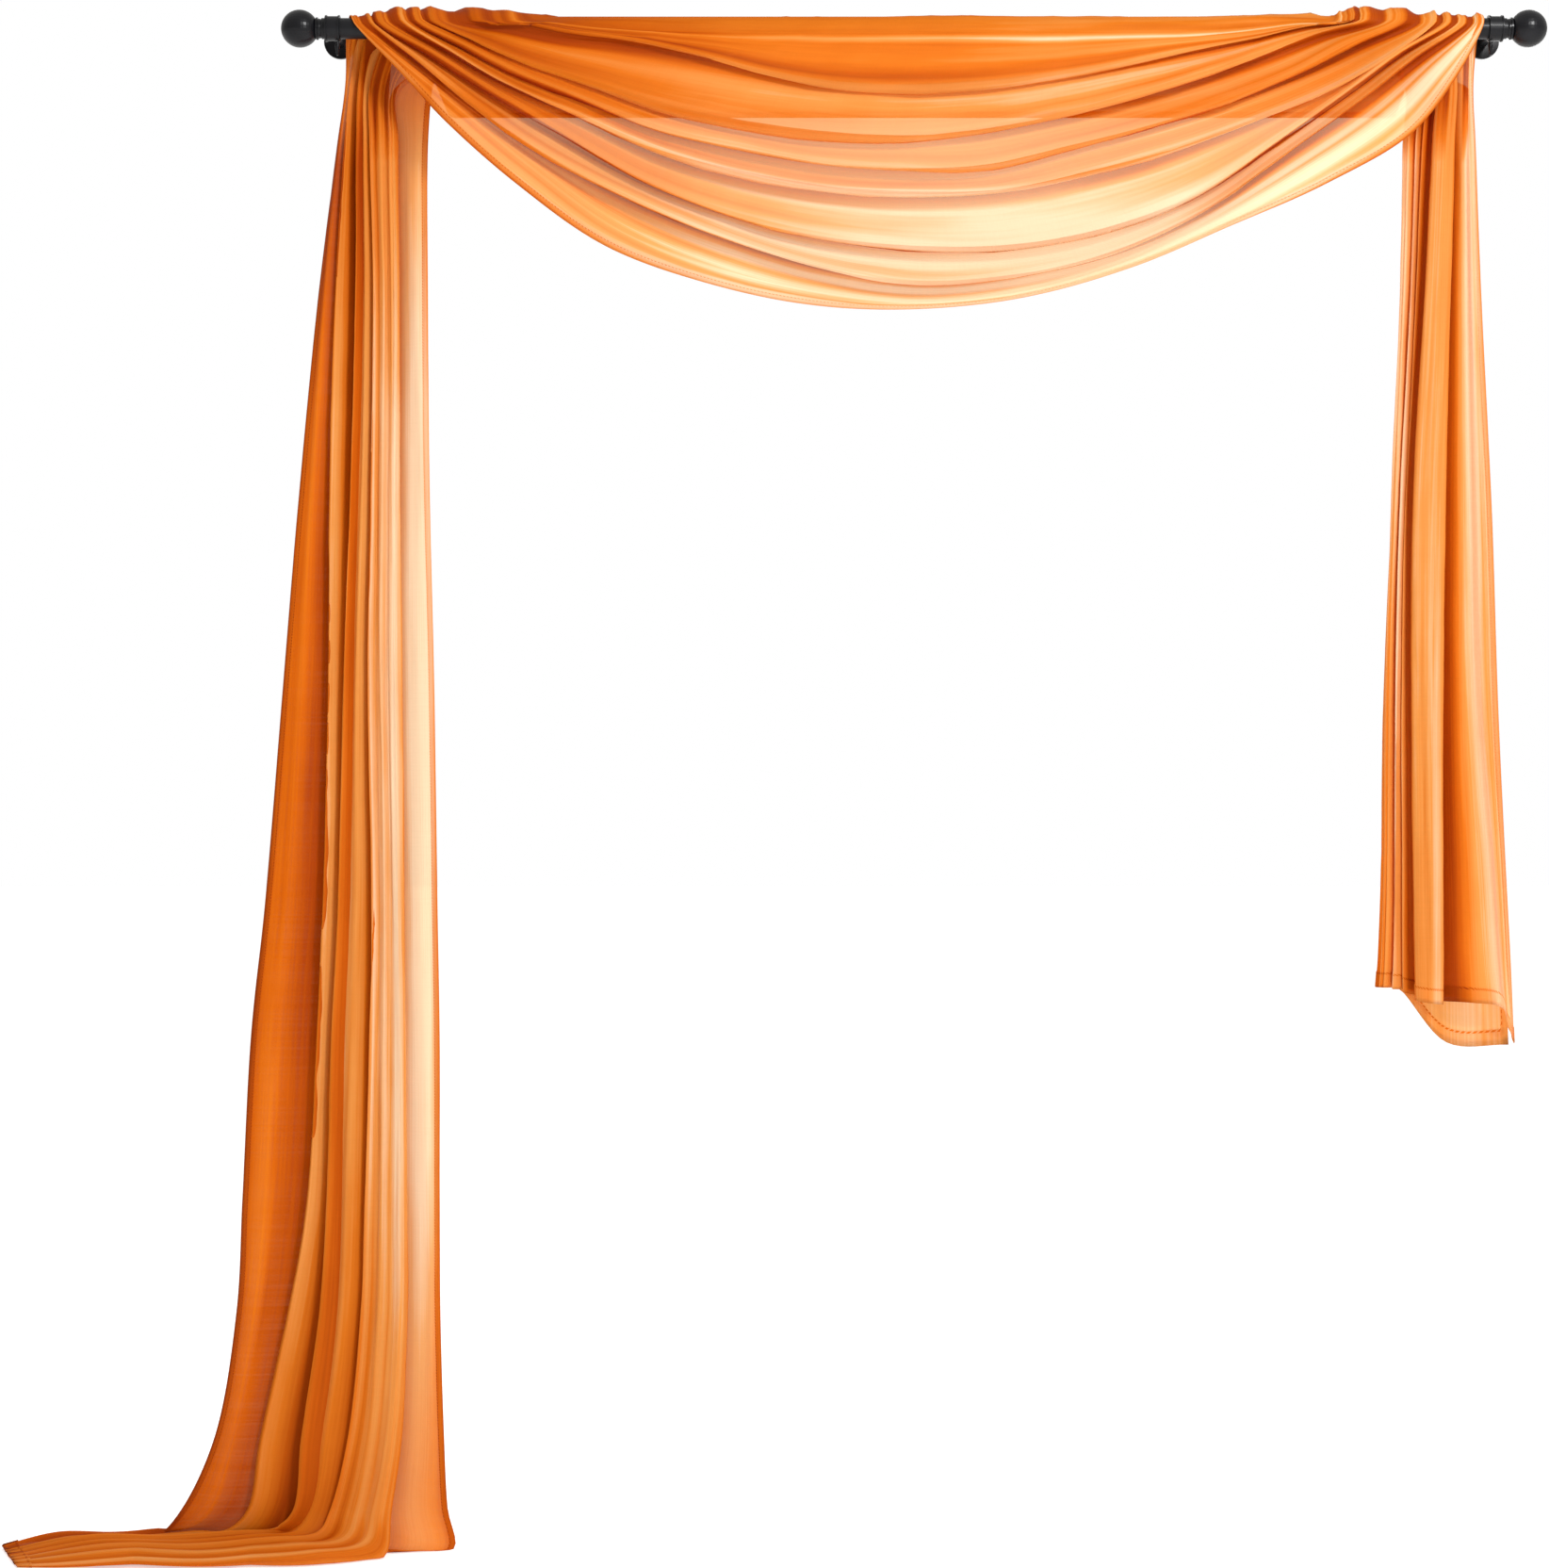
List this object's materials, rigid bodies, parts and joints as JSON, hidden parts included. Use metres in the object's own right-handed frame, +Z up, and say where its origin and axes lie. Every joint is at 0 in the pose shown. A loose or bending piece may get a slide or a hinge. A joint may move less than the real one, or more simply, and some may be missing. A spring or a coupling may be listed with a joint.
{
  "type": "window scarf on a curtain rod",
  "caption": "Sheer scarf drape hung over a ball-finial curtain rod as one front swag, with a long tail pooling on the floor and a short tail.",
  "frame": {"origin": "on the floor, under the middle of the whole object's bounding box", "axes": "+Z up, +X to the right seen from the room, towards the short tail, +Y towards the wall that the brackets stand on"},
  "size_m": [2.0874, 0.1638, 2.0987],
  "materials": {
    "scarf": "sheer voile",
    "rod": "satin",
    "fittings": "satin"
  },
  "bodies": {
    "root": {"scarf": "scarf", "rod": "rod", "finial_left": "fittings", "finial_right": "fittings", "bracket_left": "fittings", "bracket_right": "fittings", "set_screw_left": "fittings", "set_screw_right": "fittings"}
  },
  "joints": []
}
